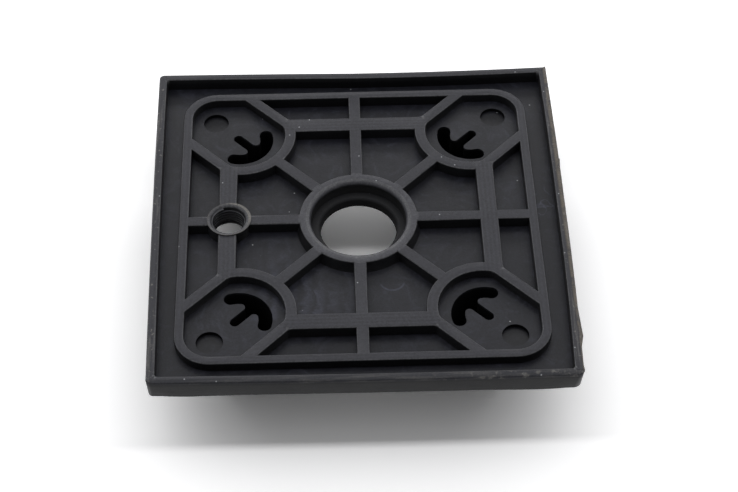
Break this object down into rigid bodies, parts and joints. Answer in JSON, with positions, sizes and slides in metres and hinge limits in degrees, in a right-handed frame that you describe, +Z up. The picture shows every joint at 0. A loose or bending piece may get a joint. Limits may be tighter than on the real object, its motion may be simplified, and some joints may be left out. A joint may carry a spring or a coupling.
{
  "type": "rubber bushing",
  "caption": "Square moulded rubber bushing on short feet, with a raised rim, stiffening ribs, corner pockets, a stepped centre bore and a small threaded bush.",
  "frame": {"origin": "centre of the part's outline on the centre bore's axis, in the plane of the feet that it stands on", "axes": "+Z up along the centre bore towards the ribs; +X away from the small threaded bush; +Y towards the side whose rim bows inwards"},
  "size_m": [0.1003, 0.0999, 0.0217],
  "materials": {
    "rubber": "matt moulded"
  },
  "bodies": {
    "root": {"bushing": "rubber"}
  },
  "joints": []
}
